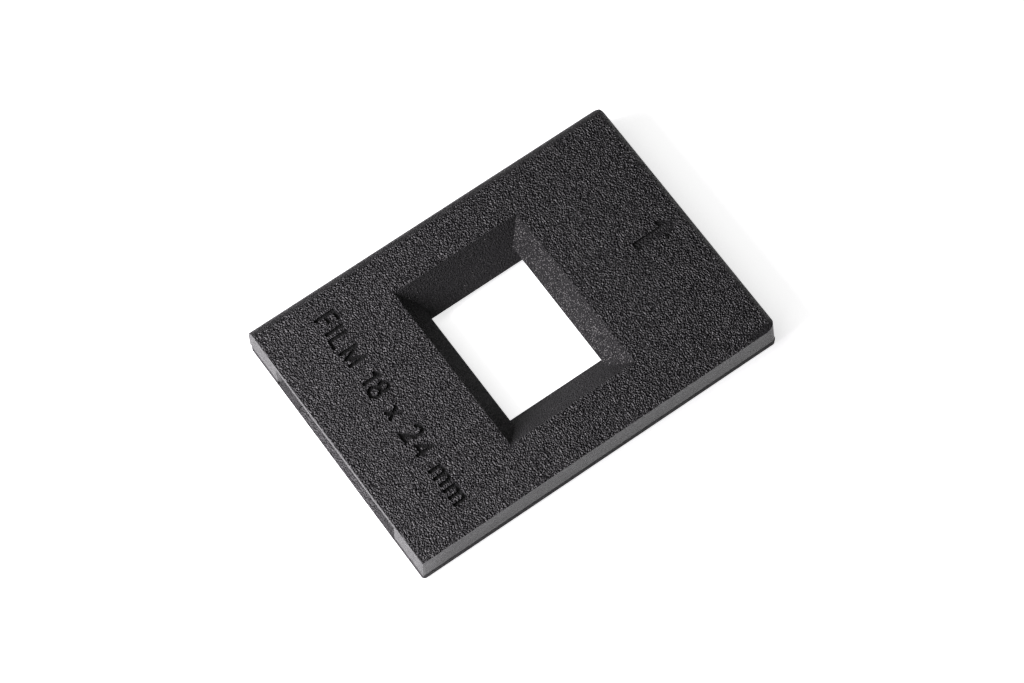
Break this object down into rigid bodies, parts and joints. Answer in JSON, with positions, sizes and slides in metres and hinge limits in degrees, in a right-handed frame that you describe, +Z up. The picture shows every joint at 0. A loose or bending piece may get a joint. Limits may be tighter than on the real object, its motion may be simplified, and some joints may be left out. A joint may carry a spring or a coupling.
{
  "type": "negative carrier",
  "caption": "Glassless film negative carrier: a bevelled gate block held by magnets on a thin plate, film passing between them.",
  "frame": {"origin": "centre of the underside of the lower plate's outline", "axes": "+X along the film path, the way the engraved arrow points; +Y across the film, towards the rounded long edge; +Z up, out of the engraved top face"},
  "size_m": [0.0808, 0.0564, 0.0089],
  "materials": {
    "printed_nylon": "dyed black, sintered, fine grain with a faint sparkle",
    "magnet": "nickel plated neodymium magnet"
  },
  "bodies": {
    "plate": {"lower_plate": "printed_nylon", "plate_magnet_1": "magnet", "plate_magnet_2": "magnet", "plate_magnet_3": "magnet", "plate_magnet_4": "magnet"},
    "block": {"upper_block": "printed_nylon", "block_magnet_1": "magnet", "block_magnet_2": "magnet", "block_magnet_3": "magnet", "block_magnet_4": "magnet"}
  },
  "joints": [
    {"name": "block_lift", "type": "slide", "parent": "plate", "child": "block", "axis": [0, 0, 1], "range_m": [0, 0.03]}
  ]
}
